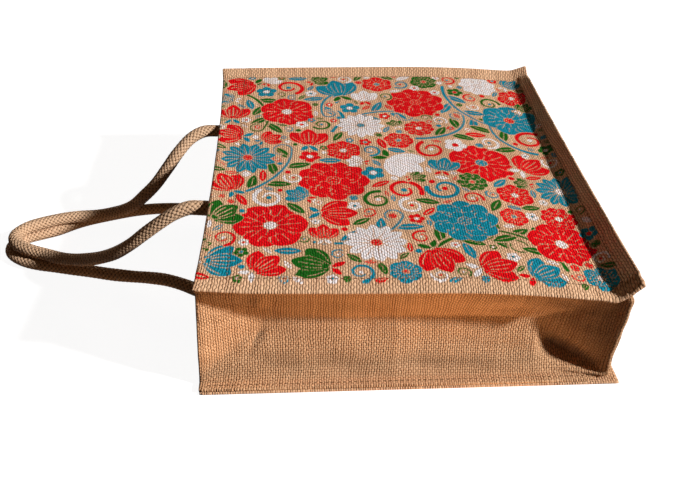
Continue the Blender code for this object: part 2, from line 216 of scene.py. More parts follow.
class Socket:
    """A socket of a material's node tree. Sums written with it add the Math nodes that they need."""

    def __init__(self, tree, socket):
        self.tree = tree
        self.socket = socket

    def node(self, kind, settings, inputs, output=0):
        """A new node of a kind: its settings are set first, then its sockets' values or links."""
        made = self.tree.nodes.new("ShaderNode" + kind)
        for name, value in settings.items():
            setattr(made, name, value)
        for key, value in inputs.items():
            if isinstance(value, Socket):
                self.tree.links.new(value.socket, made.inputs[key])
            else:
                made.inputs[key].default_value = value
        return Socket(self.tree, made.outputs[output])

    def math(self, operation, *others):
        return self.node("Math", {"operation": operation}, dict(enumerate((self, *others))))

    def __add__(self, other):
        return self.math("ADD", other)

    def __sub__(self, other):
        return self.math("SUBTRACT", other)

    def __rsub__(self, other):
        return (self * -1.0) + other

    def __mul__(self, other):
        return self.math("MULTIPLY", other)

    def __truediv__(self, other):
        return self.math("DIVIDE", other)

    def clamped(self):
        return self.node("Clamp", {}, {0: self})

    def counted(self):
        """The number of the yarn at each place, and the place across it, from -1 to 1."""
        number = self.math("FLOOR")
        return number, (self - number) * 2.0 - 1.0

    def crossing(self, other):
        """1 where the yarn of this number passes over the other's, and -1 where it passes under."""
        return ((self + other) * 0.5).math("FRACT") * 4.0 - 1.0

    def noise(self, x, y, scale, detail=2.0):
        """Soft noise from about 0 to 1 over two coordinates."""
        places = self.node("CombineXYZ", {}, {0: x, 1: y})
        return self.node("TexNoise", {}, {"Vector": places, "Scale": scale, "Detail": detail})

    def chance(self, number):
        """A steady random value for each whole number."""
        return self.node("TexWhiteNoise", {"noise_dimensions": "1D"}, {"W": number})

    def mixed(self, first, second):
        """A colour between two, with this value as the share of the second."""
        return self.node("Mix", {"data_type": "RGBA"}, {0: self, 6: first, 7: second}, 2)

    def shaded(self, colour):
        """A colour darkened or lightened by this value."""
        grey = self.node("CombineColor", {}, {0: self, 1: self, 2: self})
        settings = {"data_type": "RGBA", "blend_type": "MULTIPLY"}
        return self.node("Mix", settings, {0: 1.0, 6: colour, 7: grey}, 2)


def new_material(name, values):
    """A material whose shader has these values, and the shader."""
    material = bpy.data.materials.new(name)
    material.use_nodes = True
    shader = material.node_tree.nodes["Principled BSDF"]
    for key, value in values.items():
        shader.inputs[key].default_value = value
    return material, shader


def new_cloth(name):
    """An empty cloth material: its first socket and its shader."""
    values = {"Roughness": CLOTH_ROUGHNESS, "Specular IOR Level": CLOTH_SPECULAR}
    material, shader = new_material(name, values)
    return material, Socket(material.node_tree, None), shader


def surface_map(start):
    """The two coordinates of a piece's own map."""
    places = start.node("UVMap", {"uv_map": "yarns"}, {})
    first = start.node("SeparateXYZ", {}, {0: places}, 0)
    return first, Socket(start.tree, first.socket.node.outputs[1])


def finished(start, shader, colour, height, depth):
    """Links a colour and a bump of that depth in metres to the shader."""
    bump = start.node("Bump", {}, {"Strength": 1.0, "Distance": depth, "Height": height})
    start.tree.links.new(colour.socket, shader.inputs["Base Color"])
    start.tree.links.new(bump.socket, shader.inputs["Normal"])


def mesh_piece(name, verts, faces, uvs, material, numbers=()):
    """A mesh object from points in metres, with one map place for each point."""
    mesh = bpy.data.meshes.new(name)
    mesh.from_pydata(verts.tolist(), [], faces)
    corners = np.empty(len(mesh.loops), np.int32)
    mesh.loops.foreach_get("vertex_index", corners)
    layer = mesh.uv_layers.new(name="yarns")
    layer.data.foreach_set("uv", uvs[corners].astype(np.float32).ravel())
    for label, values in numbers:
        attribute = mesh.attributes.new(label, "FLOAT", "POINT")
        attribute.data.foreach_set("value", values.astype(np.float32))
    mesh.materials.append(material)
    mesh.shade_smooth()
    piece = bpy.data.objects.new(name, mesh)
    bpy.context.scene.collection.objects.link(piece)
    return piece


def rope_finish():
    """Plaited jute: two sets of slanting yarns that pass over and under, dark in the gaps as painted
    shade and paler on their crests as a painted highlight. Its tone is a weighed sum of the yarns'
    height, the fibres and soft patches."""
    material, start, shader = new_cloth("plaited_jute")
    along, turn = surface_map(start)
    wobble = start.noise(along, turn * ROPE_ROUND, WOBBLE_SCALE) * 0.5 - 0.25
    first_number, first = (along / PLAIT_PITCH + turn * PLAIT_STRANDS + wobble).counted()
    second_number, second = (along / PLAIT_PITCH - turn * PLAIT_STRANDS + wobble).counted()
    over = first_number.crossing(second_number)
    first_high = PLAIT_CREST - first * first * PLAIT_ROUND + (1.0 - second * second) * over * PLAIT_DIVE
    second_high = PLAIT_CREST - second * second * PLAIT_ROUND - (1.0 - first * first) * over * PLAIT_DIVE
    high = first_high.math("MAXIMUM", second_high)
    fibre = start.noise(along * 1.6, turn * 60.0, 1.0, 3.0)
    patch = start.noise(along, turn * 12.0, ROPE_PATCH_SCALE)
    # Painted light: the tone rises with the yarns' height, a painted highlight, and the low gaps take the
    # near-black colour, painted shade.
    tone = (high * 0.7 + fibre * 0.6 + patch * 0.5 - 0.62).clamped()
    colour = (high * 2.6 - 0.5).clamped().mixed(ROPE_GAP_SHADE, tone.mixed(ROPE_TAN, ROPE_PALE))
    finished(start, shader, colour, high.clamped() + fibre * 0.3, PLAIT_BUMP)
    return material


def rope_handle(name, route, material):
    """A handle as a closed oval tube whose surface is raised along its plaited yarns."""
    centres, lengths = smooth_route(route, ROPE_RING)
    ahead = unit(np.gradient(centres, axis=0))
    aside = unit(np.cross(ahead, (0.0, 0.0, 1.0)))
    above = np.cross(aside, ahead)
    turn = np.arange(ROPE_SIDES) / ROPE_SIDES
    angle = 2 * math.pi * turn
    first = lengths[:, None] / PLAIT_PITCH + turn[None, :] * PLAIT_STRANDS
    second = lengths[:, None] / PLAIT_PITCH - turn[None, :] * PLAIT_STRANDS
    rib = 0.5 * np.abs(np.sin(math.pi * first)) + 0.5 * np.abs(np.sin(math.pi * second)) - 0.6
    swell = np.ones(len(lengths))
    for share, length, shift in ROPE_SWELLS:
        swell += share * np.sin(lengths / length + shift)
    from_end = np.minimum(lengths, lengths[-1] - lengths)
    swell *= blend(ROPE_END, 1.0, ease(from_end / ROPE_END_REACH))
    wide = (ROPE_HALF_WIDE * swell)[:, None] + rib * PLAIT_RELIEF
    high = (ROPE_HALF_HIGH * swell)[:, None] + rib * PLAIT_RELIEF
    rings = (
        centres[:, None, :]
        + aside[:, None, :] * (wide * np.sin(angle))[..., None]
        + above[:, None, :] * (high * np.cos(angle))[..., None]
    )
    verts = placed(rings.reshape(-1, 3))
    index = np.arange(len(verts)).reshape(-1, ROPE_SIDES)
    after = np.roll(index, -1, 1)
    faces = np.stack([index[:-1], after[:-1], after[1:], index[1:]], -1).reshape(-1, 4).tolist()
    faces += [index[0, ::-1].tolist(), index[-1].tolist()]
    uvs = np.stack(np.broadcast_arrays(lengths[:, None], turn[None, :]), -1).reshape(-1, 2)
    piece = mesh_piece(name, verts, faces, uvs, material)
    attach(piece, "root")
    return piece


rope_jute = rope_finish()
handle_back = rope_handle("rope_handle_back", BACK_HANDLE, rope_jute)
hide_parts("handle_back")
handle_front = rope_handle("rope_handle_front", FRONT_HANDLE, rope_jute)
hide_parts("handle_front")

# Lights, floor and backdrop: a strong light from the base end, a weak low one for the far side, a warm
# lamp for the light thrown up at the near side, a weak fill, a plain pale floor and a white wall round it.
FILL = 0.05
FILL_COLOUR = (1.0, 0.62, 0.36, 1.0)
FLOOR_SIZE = 6.0
FLOOR_GREY = (0.3, 0.3, 0.3, 1.0)
FLOOR_GLOW = 0.93
BACKDROP_RADIUS = 2.8
BACKDROP_HEIGHT = 6.0
BACKDROP_SIDES = 64
BACKDROP_GLOW = 1.02
BLACK = (0.0, 0.0, 0.0, 1.0)
WHITE = (1.0, 1.0, 1.0, 1.0)
BOUNCE_PLACE = (150.0, -290.0, -140.0)
BOUNCE_AIM = (-60.0, -185.0, 90.0)
BOUNCE_SIZE = (0.12, 0.12)
BOUNCE_SPREAD = math.radians(80.0)
BOUNCE_POWER = 0.27
BOUNCE_COLOUR = (1.0, 0.56, 0.27)

Light = namedtuple("Light", "name turn height strength softness colour")
LIGHTS = (
    Light("key", -21.5, 32.0, 4.8, 4.0, (1.0, 0.98, 0.97)),
    Light("far", 95.0, 9.0, 0.8, 30.0, (1.0, 0.92, 0.84)),
)
for light in LIGHTS:
    lamp = bpy.data.objects.new(light.name, bpy.data.lights.new(light.name, "SUN"))
    lamp.data.energy = light.strength
    lamp.data.angle = math.radians(light.softness)
    lamp.data.color = light.colour
    lamp.rotation_euler = (math.radians(90.0 - light.height), 0.0, math.radians(90.0 + light.turn))
    bpy.context.scene.collection.objects.link(lamp)

bounce = bpy.data.objects.new("bounce", bpy.data.lights.new("bounce", "AREA"))
bounce.data.shape = "RECTANGLE"
bounce.data.size, bounce.data.size_y = BOUNCE_SIZE
bounce.data.energy = BOUNCE_POWER
bounce.data.color = BOUNCE_COLOUR
bounce.data.spread = BOUNCE_SPREAD
bounce.location = Vector(BOUNCE_PLACE) * MM
bounce.rotation_euler = (Vector(BOUNCE_AIM) - Vector(BOUNCE_PLACE)).to_track_quat("-Z", "Y").to_euler()
bounce.visible_camera = False
bpy.context.scene.collection.objects.link(bounce)

world = bpy.data.worlds.new("studio")
world.use_nodes = True
world.node_tree.nodes["Background"].inputs["Color"].default_value = FILL_COLOUR
world.node_tree.nodes["Background"].inputs["Strength"].default_value = FILL
bpy.context.scene.world = world


def set_stage(name, colour, glow):
    """Finishes the new object as a plain glowing part of the stage, which lights no cloth."""
    piece = bpy.context.object
    piece.name = name
    piece.visible_diffuse = False
    piece.visible_shadow = False
    values = {
        "Base Color": colour,
        "Roughness": 1.0,
        "Emission Color": WHITE,
        "Emission Strength": glow,
    }
    piece.data.materials.append(new_material("plain_" + name, values)[0])
    piece.select_set(False)
    return piece


bpy.ops.mesh.primitive_plane_add(size=FLOOR_SIZE)
set_stage("floor", FLOOR_GREY, FLOOR_GLOW)
bpy.ops.mesh.primitive_cylinder_add(
    vertices=BACKDROP_SIDES, radius=BACKDROP_RADIUS, depth=BACKDROP_HEIGHT, end_fill_type="NOTHING"
)
set_stage("backdrop", BLACK, BACKDROP_GLOW).visible_glossy = False

# Front panel: one width of plain-woven jute, hemmed at the mouth and turned over in the seam that
# stands out round its other three edges. It sags a little, its far seam tilts up, and it dips before
# its base edge, which bends up to a lip. Its flower print is in four inks and stops short of the seams.
PANEL_WIDTH = 388.0
FRONT_LENGTH = 356.0
FLANGE = 12.0
SINGLE = 1.6
TURNED = 2.4
HEMMED = 3.2
HEM_DEPTH = 25.0
HEM_STEP = 7.0
TURN_STEP = 5.0
SAG = 3.0
MOUTH_BOW = 5.8
BOW_REACH = 90.0
NEAR_CREASE = 333.0
FAR_CREASE = 337.0
CREASE_REACH = 7.0
LIP_NEAR = math.radians(46.0)
LIP_FAR = math.radians(38.0)
LIP_END = math.radians(20.0)
LIP_END_START = 350.0
LIP_END_REACH = 38.0
TROUGH = 4.0
TROUGH_PLACE = 318.0
TROUGH_REACH = 32.0
TROUGH_BREADTH = 0.4
LIP_ROLL = 2.3
LIP_ROLL_START = 322.0
LIP_ROLL_REACH = 10.0
LIP_STEPS = 12
FALL_NEAR = math.radians(-6.7)
FALL_FAR = math.radians(-3.1)
HEIGHT_REACH = 15.0
FAR_FLANGE_RISE = 6.3
FLANGE_CURL = 1.2
FRONT_GRID = 1.27
NEAR_SEAM = 8.0
RIM_STEPS = 4
RUMPLE_WAVES = 10
RUMPLE_SPREAD = (0.6, 1.7)
RUMPLE_CALM = 3.2
FRONT_RUMPLE = 55.0
FRONT_RUMPLE_SEED = 3
FRONT_RUMPLE_DEPTH = 0.55
FRONT_RUMPLE_REACH = 20.0
PUCKER_WIDTH = 1.6
SEAM_PUCKER = 0.9
HEM_PUCKER = 0.3
YARN = 2.15
LEAN = 40.0
LEAN_SCALE = 0.006
STRAY = 2.6
STRAY_SCALE = 0.05
SHAKE = 1.7
SHAKE_SCALE = 0.23
YARN_CHANGE = 0.03
YARN_APART = 5.3
OTHER_YARNS = 1000.0
FIBRE_SCALE = 0.9
PATCH_SCALE = 0.018
SPECK_SCALE = 1.3
CLOTH_RELIEF = 0.0009
MOUTH_FADE = 0.9
INK_EDGE = 1.5
INK_SPECK = 2.2
INK_CREST = 1.6

Height = namedtuple("Height", "along near far droop")
FRONT_HEIGHTS = (
    Height(0.0, 124.0, 117.0, 2.0),
    Height(40.0, 122.2, 118.0, 4.5),
    Height(120.0, 120.3, 119.0, 5.0),
    Height(210.0, 118.8, 119.8, 5.0),
    Height(240.0, 117.0, 119.6, 5.0),
    Height(290.0, 112.5, 118.2, 5.2),
    Height(326.0, 108.0, 116.2, 4.6),
    Height(356.0, 104.5, 114.0, 0.0),
)


def column(rows, key, name, at, reach=0.0):
    """A table's column read at places between its rows, its corners rounded off over a reach."""
    places = [getattr(row, key) for row in rows]
    values = [getattr(row, name) for row in rows]
    shifts = (-reach, -reach / 2, 0.0, reach / 2, reach)
    return sum(np.interp(np.asarray(at) + shift, places, values) for shift in shifts) / len(shifts)


def rumple(first, second, size, seed):
    """Soft uneven waves, from about -1 to 1, over a cloth's flat places."""
    draws = random.Random(seed)
    total = 0.0
    for wave in range(RUMPLE_WAVES):
        turn = draws.uniform(0.0, 2 * math.pi)
        length = size * draws.uniform(*RUMPLE_SPREAD)
        shift = draws.uniform(0.0, 2 * math.pi)
        ahead = first * math.cos(turn) + second * math.sin(turn)
        total = total + np.sin(ahead * (2 * math.pi / length) + shift)
    return total / RUMPLE_CALM


def front_place(along, across):
    """Points of the front panel's upper face, from their places on the flat cloth."""
    along, across = np.broadcast_arrays(np.asarray(along, float), np.asarray(across, float))
    side = across / PANEL_WIDTH
    inner = np.clip(side, 0.0, 1.0)
    crease = blend(NEAR_CREASE, FAR_CREASE, side)
    lip_start = crease - CREASE_REACH
    flat = np.minimum(along, lip_start)
    near = column(FRONT_HEIGHTS, "along", "near", flat, HEIGHT_REACH)
    far = column(FRONT_HEIGHTS, "along", "far", flat, HEIGHT_REACH)
    height = blend(near, far, side)
    hung = np.sin(math.pi * inner)
    height -= SAG * hung * np.sin(math.pi * np.clip(flat / lip_start, 0.0, 1.0))
    height -= TROUGH * hung ** TROUGH_BREADTH * np.exp(-((flat - TROUGH_PLACE) / TROUGH_REACH) ** 2)
    near_turn = np.maximum(1.0 - across / FLANGE, 0.0)
    far_turn = np.maximum(1.0 - (PANEL_WIDTH - across) / FLANGE, 0.0)
    height -= column(FRONT_HEIGHTS, "along", "droop", flat) * near_turn ** FLANGE_CURL
    height += FAR_FLANGE_RISE * far_turn ** FLANGE_CURL
    bow = MOUTH_BOW * np.sqrt(hung)
    place = flat + bow * np.maximum(1.0 - flat / BOW_REACH, 0.0) ** 2
    fall = blend(FALL_NEAR, FALL_FAR, side)
    lip = blend(LIP_NEAR, LIP_FAR, side)
    lip = blend(lip, LIP_END, ease((across - LIP_END_START) / LIP_END_REACH))
    step = np.maximum(along - lip_start, 0.0) / LIP_STEPS
    for index in range(LIP_STEPS):
        angle = blend(fall, lip, ease((index + 0.5) * step / (2 * CREASE_REACH)))
        place = place + step * np.cos(angle)
        height = height + step * np.sin(angle)
    return np.stack([place, across, height], -1)


def panel_thickness(along, inset):
    """A panel's thickness: hemmed at the mouth, turned over in the seams, single elsewhere."""
    hem = 1.0 - ease((along - HEM_DEPTH) / HEM_STEP)
    turn = 1.0 - ease((inset - FLANGE) / TURN_STEP)
    return np.maximum(blend(SINGLE, HEMMED, hem * (1.0 - turn)), blend(SINGLE, TURNED, turn))


def slopes(grid):
    """Unit directions along a grid's rows, along its columns, and square to its face."""
    down = unit(np.gradient(grid, axis=0))
    aside = unit(np.gradient(grid, axis=1))
    return down, aside, unit(np.cross(down, aside))


def cloth_shell(name, face, flat, thickness, material, every=1, numbers=()):
    """A cloth as one closed shell: a face given as a grid of points in millimetres, the same grid's
    places on the flat cloth, rounded edges, and a back face that keeps every so many lines."""
    down, aside, square = slopes(face)
    rows, columns = face.shape[:2]
    index = np.arange(rows * columns).reshape(rows, columns)
    loop = np.concatenate([index[:-1, 0], index[-1, :-1], index[:0:-1, -1], index[0, :0:-1]])
    outward = np.zeros_like(face)
    outward[:, 0] -= aside[:, 0]
    outward[:, -1] += aside[:, -1]
    outward[0] -= down[0]
    outward[-1] += down[-1]
    outward = unit(outward.reshape(-1, 3)[loop])
    upward = square.reshape(-1, 3)[loop]
    edge = face.reshape(-1, 3)[loop]
    half = thickness.reshape(-1, 1)[loop] / 2
    verts = [face.reshape(-1, 3)]
    places = [flat.reshape(-1, 2)]
    rings = [loop]
    count = rows * columns
    for step in range(1, RIM_STEPS + 1):
        angle = math.pi * step / RIM_STEPS
        verts.append(edge + outward * half * math.sin(angle) - upward * half * (1 - math.cos(angle)))
        places.append(flat.reshape(-1, 2)[loop])
        rings.append(count + np.arange(len(loop)))
        count += len(loop)
    quads = np.stack([index[:-1, :-1], index[1:, :-1], index[1:, 1:], index[:-1, 1:]], -1)
    faces = quads.reshape(-1, 4).tolist()
    for first, second in zip(rings, rings[1:]):
        faces += np.stack([first, second, np.roll(second, -1), np.roll(first, -1)], -1).tolist()

    back = face - square * thickness[..., None]
    under = np.full((rows, columns), -1)
    under.reshape(-1)[loop] = rings[-1]
    row_lines = sorted(set(range(0, rows, every)) | {1, rows - 2, rows - 1})
    column_lines = sorted(set(range(0, columns, every)) | {1, columns - 2, columns - 1})
    inner_rows = row_lines[1:-1]
    inner_columns = column_lines[1:-1]
    inside = np.ix_(inner_rows, inner_columns)
    verts.append(back[inside].reshape(-1, 3))
    places.append(flat[inside].reshape(-1, 2))
    within = len(inner_rows) * len(inner_columns)
    under[inside] = count + np.arange(within).reshape(len(inner_rows), len(inner_columns))
    for top, bottom in zip(row_lines, row_lines[1:]):
        for left, right in zip(column_lines, column_lines[1:]):
            walk = [(top, line) for line in range(left, right)]
            walk += [(row, right) for row in range(top, bottom)]
            walk += [(bottom, line) for line in range(right, left, -1)]
            walk += [(row, left) for row in range(bottom, top, -1)]
            faces.append([int(under[place]) for place in walk if under[place] >= 0])
    points = placed(np.vstack(verts))
    padded = []
    for label, values in numbers:
        own = [values.reshape(-1)] + [values.reshape(-1)[loop]] * RIM_STEPS
        own.append(np.full(within, values.min()))
        padded.append((label, np.concatenate(own)))
    return mesh_piece(name, points, faces, np.vstack(places), material, padded)


def weave(start, along, across, ribbed):
    """Plain weave on a cloth's flat places: its height, from 0 in the gaps to 1 on the yarns, and
    the tone of the yarn on top. A ribbed cloth's crosswise yarns hide more of the others. Each yarn
    wanders a little and has its own thickness and tone. The tone also rises with the height, a
    painted highlight on the crests, and the warp, which lies lower, is toned darker, painted shade."""
    lean = (start.noise(along, across, LEAN_SCALE, 1.0) - 0.5) * LEAN
    stray = (start.noise(along, across, STRAY_SCALE) - 0.5) * STRAY
    shaky = (start.noise(along, across, SHAKE_SCALE, 1.0) - 0.5) * SHAKE
    warp_number, warp = ((across + lean * 0.2 + stray * 0.6 + shaky) / YARN).counted()
    weft_number, weft = ((along + lean * 0.5 + stray - shaky) / YARN).counted()
    over = warp_number.crossing(weft_number)
    warp_chance = start.chance(warp_number)
    weft_chance = start.chance(weft_number + OTHER_YARNS)
    warp_thick = start.noise(along * YARN_CHANGE, warp_number * YARN_APART, 1.0)
    weft_thick = start.noise(weft_number * YARN_APART, across * YARN_CHANGE, 1.0)
    warp_body = 1.0 - (warp * warp) / (warp_thick * 1.1 + warp_chance * 0.4 + 0.3)
    weft_body = 1.0 - (weft * weft) / (weft_thick * 1.1 + weft_chance * 0.4 + 0.3)
    warp_high = warp_body * 0.4 + (1.0 - weft * weft) * over * (0.5 - ribbed * 0.25)
    weft_high = weft_body * 0.75 - (1.0 - warp * warp) * over * (0.5 - ribbed * 0.2)
    weft_high = weft_high + (0.05 + ribbed * 0.15)
    high = warp_high.math("MAXIMUM", weft_high)
    crosswise = weft_high.math("GREATER_THAN", warp_high)
    fibre = start.noise(along, across, FIBRE_SCALE, 3.0)
    # The warp's tone is set below the weft's: painted shade for the lower-lying warp.
    warp_tone = warp_chance * 0.35 + warp_thick * 0.6 - 0.25
    weft_tone = weft_chance * 0.35 + weft_thick * 0.6 + 0.05
    tone = crosswise * weft_tone + (1.0 - crosswise) * warp_tone
    return high.clamped(), tone * 0.7 + fibre * 0.4 + high * 0.35 - 0.42


def worn(along):
    """1 at the mouth, where hands have worn the print most, to 0 past the hem."""
    return (1.0 - along / HEM_DEPTH).clamped()


def jute_finish(name, gap, dark, light, ribbed=0.0, inks=()):
    """Plain-woven jute, with any inks laid on the crests of its yarns. Its low gaps between the yarns
    take the gap colour, painted shade, and each ink is darker in the gaps and lighter on the crests,
    painted shade and painted highlight.
    """
    material, start, shader = new_cloth(name)
    along, across = surface_map(start)
    height, tone = weave(start, along, across, ribbed)
    patch = start.noise(along, across, PATCH_SCALE)
    shade = (tone + patch * 0.5 - 0.05).clamped()
    yarn = shade.mixed(dark, light)
    # Painted shade: where the weave is low, the colour goes to the gap colour.
    colour = (height * 2.1 - 0.42).clamped().mixed(gap, yarn)
    speck = start.noise(along, across, SPECK_SCALE)
    for label, ink in inks:
        inside = start.node("Attribute", {"attribute_name": label}, {}, "Fac")
        reach = inside * INK_EDGE + (speck - 0.5) * INK_SPECK + (height - 0.45) * INK_CREST
        cover = (reach - worn(along) * MOUTH_FADE).clamped()
        # Each ink is darkened in the low gaps and lightened on the crests: painted shade and painted
        # highlight.
        colour = cover.mixed(colour, (tone * 0.3 + height * 0.4 + 0.42).shaded(ink))
    finished(start, shader, colour, height, CLOTH_RELIEF)
    return material


def even_places(low, high, spacing):
    return np.linspace(low, high, int(round((high - low) / spacing)) + 1)


front_along = even_places(HEMMED / 2, FRONT_LENGTH - TURNED / 2, FRONT_GRID)[:, None]
front_across = even_places(TURNED / 2, PANEL_WIDTH - TURNED / 2, FRONT_GRID)[None, :]
front_face = front_place(front_along, front_across)
front_along, front_across = np.broadcast_arrays(front_along, front_across)
from_other_seams = np.minimum(PANEL_WIDTH - front_across, FRONT_LENGTH - front_along)
front_inset = np.minimum(front_across, from_other_seams)
near_seam = (front_across - NEAR_SEAM) / PUCKER_WIDTH
other_seam = (from_other_seams - FLANGE) / PUCKER_WIDTH
seam_pull = np.exp(-near_seam ** 2) + np.exp(-other_seam ** 2)
hem_pull = np.exp(-((front_along - HEM_DEPTH) / PUCKER_WIDTH) ** 2)
front_body = ease((front_inset - FLANGE) / FRONT_RUMPLE_REACH) * FRONT_RUMPLE_DEPTH
front_rumple = rumple(front_along, front_across, FRONT_RUMPLE, FRONT_RUMPLE_SEED) * front_body
front_face[..., 2] += front_rumple - seam_pull * SEAM_PUCKER - hem_pull * HEM_PUCKER

# The print on the front panel: flowers, florets, tulips, leaves and stems in four flat inks, with
# fine bare lines in the petals and a bare gap round each shape. Each ink is kept as how far inside
# its nearest shape a place of the cloth is.
PRINT_NEAR = 8.5
PRINT_FAR = 11.5
PRINT_BASE = 12.5
PRINT_PAST = 6.0
PRINT_GAP = 2.0
PRINT_SEED = 21
PETAL_GAP = 0.6
EYE_GAP = 0.84
FLORET_GAP = 0.18
DOT_HOLED = 3.5
PETAL_BLUNT = 0.7
LINE_HALF = 0.45
LINE_SPREAD = 1.1
LINE_START = 0.22
LINE_END = 0.82
LINE_SHORTER = 0.14
EYE_REACH = 0.2
EYE_RADIUS = 0.17
EYE_HOLES = 5
HOLE_RING = 0.55
HOLE_RADIUS = 0.16
TRAIL_THINS = 0.55
SCROLL_STEPS = 44
SCROLL_WINDS = 1.15
FAR_FROM_INK = -60.0
PRINT_SEARCH = 20.0
INKS = {
    "red": (0.92, 0.003, 0.008, 1.0),
    "blue": (0.006, 0.285, 0.40, 1.0),
    "green": (0.012, 0.15, 0.010, 1.0),
    "white": (0.96, 0.90, 0.90, 1.0),
}
INK_SHARES = {"red": 1.0, "blue": 0.85, "green": 0.6, "white": 0.5}

print_along = front_along[:, 0]
print_across = front_across[0]
ink_fields = {ink: np.full(front_along.shape, FAR_FROM_INK) for ink in INKS}
print_room = np.minimum(front_across - PRINT_NEAR, PANEL_WIDTH - PRINT_FAR - front_across)
print_room = np.minimum(print_room, FRONT_LENGTH - PRINT_BASE - front_along)
print_room = np.minimum(print_room, front_along + PRINT_PAST)


def stamp(ink, along, across, turn, reach, shape, gap=PRINT_GAP):
    """Prints a shape about a place. shape gives how far each place is inside its outline, and how
    far inside its inked part."""
    reach = reach + PRINT_SEARCH
    rows = slice(*np.searchsorted(print_along, (along - reach, along + reach)))
    columns = slice(*np.searchsorted(print_across, (across - reach, across + reach)))
    first = front_along[rows, columns] - along
    second = front_across[rows, columns] - across
    ahead = first * math.cos(turn) + second * math.sin(turn)
    aside = second * math.cos(turn) - first * math.sin(turn)
    outline, inked = shape(ahead, aside)
    for field in ink_fields.values():
        field[rows, columns] = np.minimum(field[rows, columns], -outline - gap)
    ink_fields[ink][rows, columns] = np.maximum(ink_fields[ink][rows, columns], inked)


def petal(length, width, fullness, lines):
    """A petal or leaf from its root outward, with so many bare lines along it."""
    def shape(ahead, aside):
        part = np.clip(ahead / length, 0.0, 1.0)
        half = width / 2 * np.sin(math.pi * part ** fullness) ** PETAL_BLUNT
        outline = np.minimum(half - np.abs(aside), np.minimum(ahead, length - ahead))
        inked = outline
        for line in range(lines):
            from_middle = line - (lines - 1) / 2
            place = from_middle / max(lines - 1, 1) * half * LINE_SPREAD
            end = LINE_END - LINE_SHORTER * abs(from_middle)
            run = np.maximum(length * LINE_START - ahead, ahead - length * end)
            inked = np.minimum(inked, np.maximum(np.abs(aside - place) - LINE_HALF, run))
        return outline, inked
    return shape


def disc(radius, holes=0):
    """A round eye with a ring of small bare holes."""
    def shape(ahead, aside):
        outline = radius - np.hypot(ahead, aside)
        inked = outline
        ring = radius * HOLE_RING
        for hole in range(holes):
            angle = 2 * math.pi * hole / holes
            away = np.hypot(ahead - ring * math.cos(angle), aside - ring * math.sin(angle))
            inked = np.minimum(inked, away - radius * HOLE_RADIUS)
        return outline, inked
    return shape


def trail(points, thick):
    """A line through points that thins towards its end."""
    def shape(ahead, aside):
        outline = np.full(ahead.shape, FAR_FROM_INK)
        for index, point in enumerate(points):
            half = thick / 2 * (1.0 - TRAIL_THINS * index / len(points))
            outline = np.maximum(outline, half - np.hypot(ahead - point[0], aside - point[1]))
        return outline, outline
    return shape


def flower(ink, eye, along, across, radius, turn, rings):
    """A flower: rings of overlapping petals from the outside in, and a round eye."""
    for count, share, width, fullness, lines in rings:
        for index in range(count):
            angle = turn + share + 2 * math.pi * index / count
            shape = petal(radius * share, radius * width, fullness, lines)
            stamp(ink, along, across, angle, radius * share, shape, PETAL_GAP)
    eye_shape = disc(radius * EYE_RADIUS, EYE_HOLES)
    stamp(eye, along, across, turn, radius * EYE_REACH, eye_shape, EYE_GAP)


def bloom(ink, eye, along, across, radius, turn):
    flower(ink, eye, along, across, radius, turn, [(6, 1.0, 0.86, 1.9, 3), (5, 0.55, 0.46, 1.8, 1)])


def daisy(ink, eye, along, across, radius, turn):
    flower(ink, eye, along, across, radius, turn, [(12, 1.0, 0.38, 1.7, 1)])


def rosette(ink, eye, along, across, radius, turn):
    rings = [(9, 1.0, 0.60, 2.2, 2), (8, 0.74, 0.50, 2.2, 2), (6, 0.47, 0.36, 2.0, 0)]
    flower(ink, eye, along, across, radius, turn, rings)


def tulip(ink, eye, along, across, radius, turn):
    root = (along - radius * 0.9 * math.cos(turn), across - radius * 0.9 * math.sin(turn))
    for lean, length, lines in ((0.62, 1.7, 2), (-0.62, 1.7, 2), (0.0, 1.85, 3)):
        shape = petal(radius * length, radius * 0.95, 1.25, lines)
        stamp(ink, *root, turn + lean, radius * length, shape, PETAL_GAP)
    for lean in (2.4, -2.4):
        stamp(eye, *root, turn + lean, radius * 0.7, petal(radius * 0.7, radius * 0.3, 1.0, 0))


def floret(ink, eye, along, across, radius, turn):
    for index in range(5):
        angle = turn + 2 * math.pi * index / 5
        place = (along + radius * 0.6 * math.cos(angle), across + radius * 0.6 * math.sin(angle))
        stamp(ink, *place, angle, radius * 0.4, disc(radius * 0.4, 0), FLORET_GAP)
    stamp(eye, along, across, turn, radius * 0.3, disc(radius * 0.26, 0), PETAL_GAP)


def dot(ink, eye, along, across, radius, turn):
    stamp(ink, along, across, turn, radius, disc(radius * 0.9, 4 if radius > DOT_HOLED else 0))


def leaf(ink, eye, along, across, radius, turn):
    root = (along - radius * math.cos(turn), across - radius * math.sin(turn))
    stamp(ink, *root, turn, radius * 2, petal(radius * 2.0, radius * 0.8, 1.0, 1))


def scroll(ink, eye, along, across, radius, turn):
    """A curl that is thick outside and thins as it winds in, and an eye at its end."""
    points = []
    for index in range(SCROLL_STEPS):
        share = index / SCROLL_STEPS
        angle = 2 * math.pi * SCROLL_WINDS * share
        reach = radius * (0.92 - 0.62 * share)
        points.append((reach * math.cos(angle), reach * math.sin(angle)))
    stamp(ink, along, across, turn, radius, trail(points, radius * 0.30), PETAL_GAP)
    stamp(eye, along, across, turn, radius * 0.2, disc(radius * 0.16, 0), PETAL_GAP)


